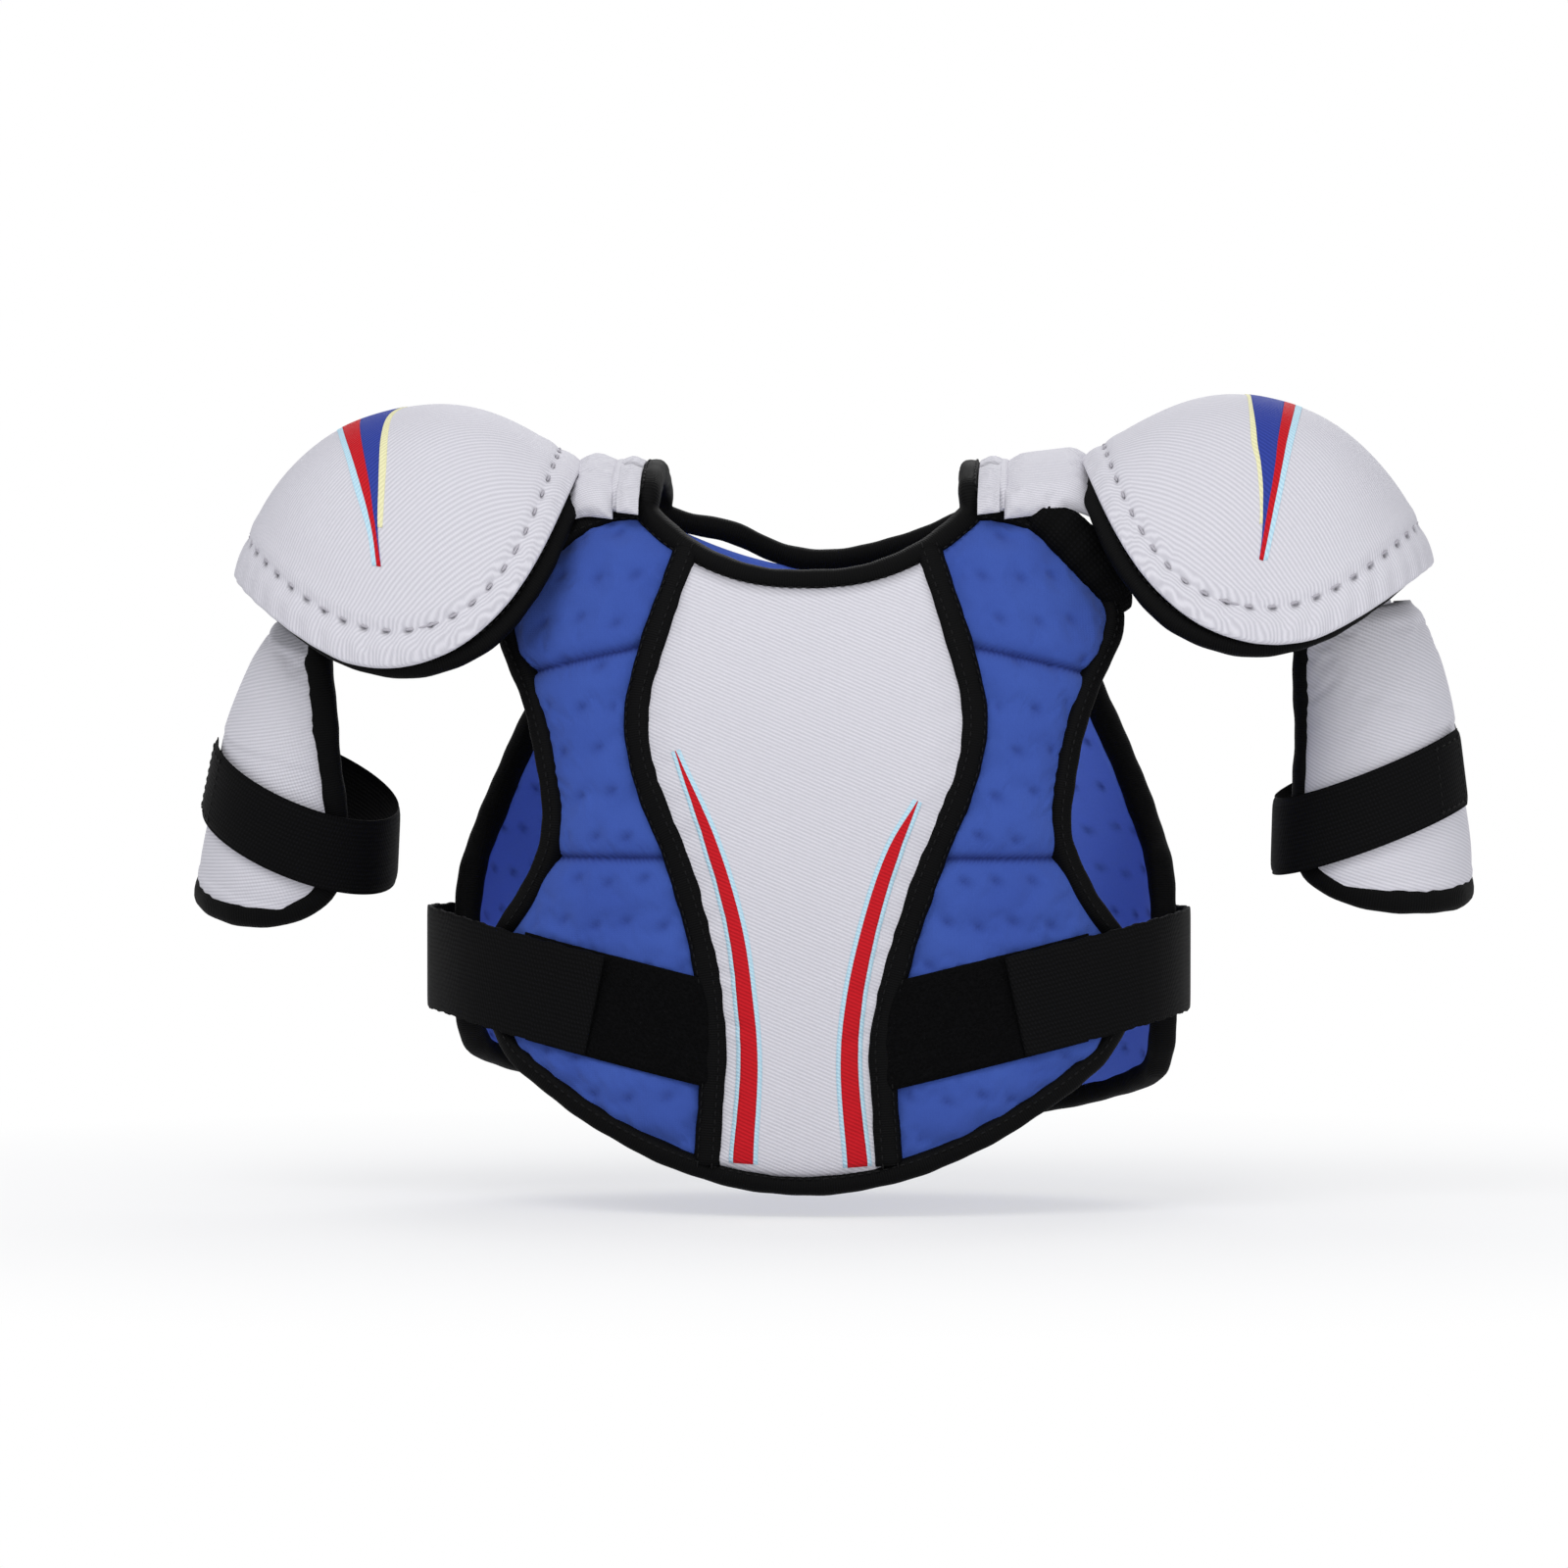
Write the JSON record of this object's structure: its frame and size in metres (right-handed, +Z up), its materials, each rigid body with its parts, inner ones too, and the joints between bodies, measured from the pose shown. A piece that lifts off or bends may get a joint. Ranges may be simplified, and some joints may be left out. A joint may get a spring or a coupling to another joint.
{
  "type": "hockey shoulder pads",
  "caption": "Padded hockey shoulder and chest protector: vest front and back, domed shoulder caps, hanging upper arm guards, hook-and-loop waist and arm straps.",
  "frame": {"origin": "on the upright middle line of the wearer's torso, level with the lowest point of the front hem", "axes": "+Z up, -Y towards the wearer's chest side, +X towards the wearer's left arm"},
  "size_m": [0.6377, 0.1972, 0.3864],
  "materials": {
    "blue_foam": "matte, dimpled",
    "lining": "brushed knit",
    "core_foam": "matte",
    "plate": "moulded",
    "white_knit": "ribbed knit",
    "binding": "folded tape",
    "black_padding": "padded mesh",
    "webbing": "woven elastic",
    "loop_patch": "brushed loop pile"
  },
  "bodies": {
    "vest": {"chest_liner": "lining", "sternum_foam": "core_foam", "sternum_plate": "plate", "sternum_cover": "white_knit", "front_binding": "binding", "neck_binding": "binding", "back_liner": "lining", "back_foam": "blue_foam", "spine_plate": "plate", "spine_cover": "white_knit", "back_binding": "binding", "right_chest_foam": "blue_foam", "right_sternum_binding": "binding", "right_yoke_foam": "core_foam", "right_yoke_cover": "white_knit", "right_yoke_binding": "white_knit", "right_shoulder_roll": "black_padding", "right_waist_anchor": "webbing", "right_waist_strap": "webbing", "right_waist_patch": "loop_patch", "left_chest_foam": "blue_foam", "left_sternum_binding": "binding", "left_yoke_foam": "core_foam", "left_yoke_cover": "white_knit", "left_yoke_binding": "white_knit", "left_shoulder_roll": "black_padding", "left_waist_anchor": "webbing", "left_waist_strap": "webbing", "left_waist_patch": "loop_patch"},
    "right_cap": {"right_cap_cover": "white_knit", "right_cap_shell": "plate", "right_cap_liner": "black_padding", "right_cap_binding": "binding", "right_cap_tab": "white_knit"},
    "right_guard": {"right_guard_cover": "white_knit", "right_guard_plate": "plate", "right_guard_foam": "core_foam", "right_guard_binding": "binding", "right_guard_hanger": "webbing", "right_arm_strap": "webbing", "right_arm_patch": "loop_patch"},
    "right_waist_flap": {"right_waist_tab": "webbing"},
    "right_arm_flap": {"right_arm_tab": "webbing"},
    "left_cap": {"left_cap_cover": "white_knit", "left_cap_shell": "plate", "left_cap_liner": "black_padding", "left_cap_binding": "binding", "left_cap_tab": "white_knit"},
    "left_guard": {"left_guard_cover": "white_knit", "left_guard_plate": "plate", "left_guard_foam": "core_foam", "left_guard_binding": "binding", "left_guard_hanger": "webbing", "left_arm_strap": "webbing", "left_arm_patch": "loop_patch"},
    "left_waist_flap": {"left_waist_tab": "webbing"},
    "left_arm_flap": {"left_arm_tab": "webbing"}
  },
  "joints": [
    {"name": "right_cap_swing", "type": "hinge", "parent": "vest", "child": "right_cap", "pos_m": [-0.0978, 0, 0.34978], "axis": [0, 1, 0], "range_deg": [0, 40]},
    {"name": "right_guard_swing", "type": "hinge", "parent": "right_cap", "child": "right_guard", "pos_m": [-0.25342, -0.00732, 0.26582], "axis": [0, 1, 0], "range_deg": [-8, 35]},
    {"name": "right_waist_peel", "type": "hinge", "parent": "vest", "child": "right_waist_flap", "pos_m": [-0.17977, -0.02546, 0.10488], "axis": [0, 0, -1], "range_deg": [0, 100]},
    {"name": "right_arm_peel", "type": "hinge", "parent": "right_guard", "child": "right_arm_flap", "pos_m": [-0.21023, 0.0286, 0.1599], "axis": [0.1504, -0.2756, 0.9494], "range_deg": [0, 75]},
    {"name": "left_cap_swing", "type": "hinge", "parent": "vest", "child": "left_cap", "pos_m": [0.0978, 0, 0.34978], "axis": [0, -1, 0], "range_deg": [0, 40]},
    {"name": "left_guard_swing", "type": "hinge", "parent": "left_cap", "child": "left_guard", "pos_m": [0.27965, -0.00606, 0.27635], "axis": [0, -1, 0], "range_deg": [-8, 35]},
    {"name": "left_waist_peel", "type": "hinge", "parent": "vest", "child": "left_waist_flap", "pos_m": [0.17977, -0.02546, 0.10488], "axis": [0, 0, 1], "range_deg": [0, 100]},
    {"name": "left_arm_peel", "type": "hinge", "parent": "left_guard", "child": "left_arm_flap", "pos_m": [0.23097, 0.02872, 0.16946], "axis": [0.0521, 0.0872, -0.9948], "range_deg": [0, 75]}
  ]
}
